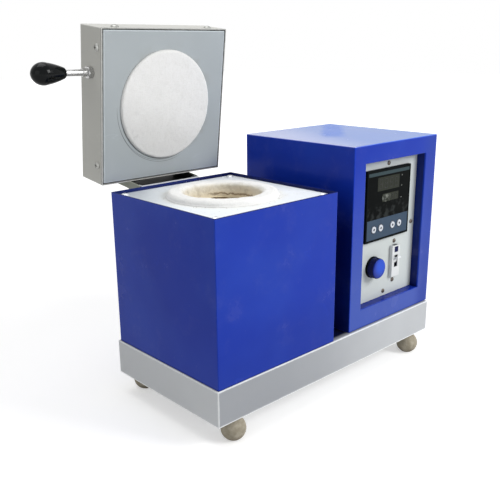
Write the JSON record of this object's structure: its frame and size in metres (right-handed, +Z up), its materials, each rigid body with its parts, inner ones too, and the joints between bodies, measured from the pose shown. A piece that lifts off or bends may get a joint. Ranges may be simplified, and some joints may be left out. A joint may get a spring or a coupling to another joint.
{
  "type": "gold melting furnace",
  "caption": "Bench melting furnace: square casing with a ceramic-lined crucible chamber and a hinged lid, beside a control box, both on a tray with ball feet.",
  "frame": {"origin": "on the floor, at the middle of the four feet", "axes": "+Z up, +X from the furnace casing to the control box, +Y to the back"},
  "size_m": [0.4792, 0.2681, 0.4606],
  "materials": {
    "blue_paint": "semi-gloss powder coat",
    "grey_paint": "semi-gloss powder coat",
    "panel_paint": "satin powder coat",
    "plate_paint": "matt heat-resistant paint",
    "ceramic_fibre": "rigid ceramic fibre, matt",
    "insulation_board": "ceramic fibre board, matt",
    "muffle_ceramic": "fired refractory, stained",
    "resistance_wire": "oxidised resistance wire",
    "probe_steel": "drawn steel sheath",
    "terminal_ceramic": "white steatite",
    "zinc_steel": "zinc-plated steel",
    "bright_screws": "bright nickel-plated steel",
    "handle_steel": "turned steel",
    "knob_plastic": "polished black phenolic",
    "sleeve_plastic": "black",
    "foot_rubber": "beige rubber",
    "black_plastic": "fine-textured black",
    "window_acrylic": "smoked acrylic",
    "keypad_plastic": "slate blue-grey film",
    "key_plastic": "white",
    "board_laminate": "green laminate",
    "lamp_blue": "translucent blue",
    "breaker_plastic": "white moulded",
    "toggle_plastic": "white moulded",
    "bracket_steel": "zinc-plated strip"
  },
  "bodies": {
    "furnace": {"casing_shell": "blue_paint", "control_box_shell": "blue_paint", "rear_cover": "blue_paint", "base_tray": "grey_paint", "base_bottom_cover": "grey_paint", "hinge_bracket": "grey_paint", "control_panel": "panel_paint", "casing_top_plate": "plate_paint", "ceramic_collar": "ceramic_fibre", "insulation_blocks": "insulation_board", "insulation_floor": "insulation_board", "muffle": "muffle_ceramic", "hearth_brick": "muffle_ceramic", "heating_element": "resistance_wire", "temperature_probe": "probe_steel", "terminal_block": "terminal_ceramic", "foot_screws": "zinc_steel", "base_cover_screws": "zinc_steel", "housing_screws": "zinc_steel", "housing_nuts": "zinc_steel", "hinge_bracket_screws": "zinc_steel", "hinge_pin": "zinc_steel", "hinge_pin_clip": "zinc_steel", "rear_cover_screws": "zinc_steel", "relay_screws": "zinc_steel", "panel_screws": "zinc_steel", "top_plate_screws": "bright_screws", "hinge_sleeve": "sleeve_plastic", "foot_front_left": "foot_rubber", "foot_front_right": "foot_rubber", "foot_rear_left": "foot_rubber", "foot_rear_right": "foot_rubber", "controller_bezel": "black_plastic", "controller_case": "black_plastic", "pilot_lamp_body": "black_plastic", "pilot_lamp_nut": "black_plastic", "power_relay": "black_plastic", "cable_gland": "black_plastic", "gland_nut": "black_plastic", "controller_window": "window_acrylic", "controller_keypad": "keypad_plastic", "controller_board": "board_laminate", "pilot_lamp_lens": "lamp_blue", "breaker_body": "breaker_plastic", "breaker_bracket": "bracket_steel"},
    "lid": {"lid_shell": "grey_paint", "lid_inner_plate": "grey_paint", "lid_screws": "zinc_steel", "lid_disc": "ceramic_fibre", "lid_insulation": "insulation_board", "handle_rod": "handle_steel", "handle_nuts": "handle_steel", "handle_knob": "knob_plastic", "lid_channel": "grey_paint", "channel_screws": "zinc_steel"},
    "switch_toggle": {"breaker_toggle": "toggle_plastic"},
    "key_1": {"controller_key_1": "key_plastic"},
    "key_2": {"controller_key_2": "key_plastic"},
    "key_3": {"controller_key_3": "key_plastic"},
    "key_4": {"controller_key_4": "key_plastic"}
  },
  "joints": [
    {"name": "lid_hinge", "type": "hinge", "parent": "furnace", "child": "lid", "pos_m": [-0.1092, 0.1052, 0.2595], "axis": [1, 0, 0], "range_deg": [0, 83.1]},
    {"name": "switch_toggle_swing", "type": "hinge", "parent": "furnace", "child": "switch_toggle", "pos_m": [0.135, -0.08, 0.146], "axis": [1, 0, 0], "range_deg": [0, 60]},
    {"name": "key_1_press", "type": "slide", "parent": "furnace", "child": "key_1", "axis": [0, 1, 0], "range_m": [0, 0.0006], "stiffness_N_per_m": 400, "springref_m": -0.0005},
    {"name": "key_2_press", "type": "slide", "parent": "furnace", "child": "key_2", "axis": [0, 1, 0], "range_m": [0, 0.0006], "stiffness_N_per_m": 400, "springref_m": -0.0005},
    {"name": "key_3_press", "type": "slide", "parent": "furnace", "child": "key_3", "axis": [0, 1, 0], "range_m": [0, 0.0006], "stiffness_N_per_m": 400, "springref_m": -0.0005},
    {"name": "key_4_press", "type": "slide", "parent": "furnace", "child": "key_4", "axis": [0, 1, 0], "range_m": [0, 0.0006], "stiffness_N_per_m": 400, "springref_m": -0.0005}
  ]
}
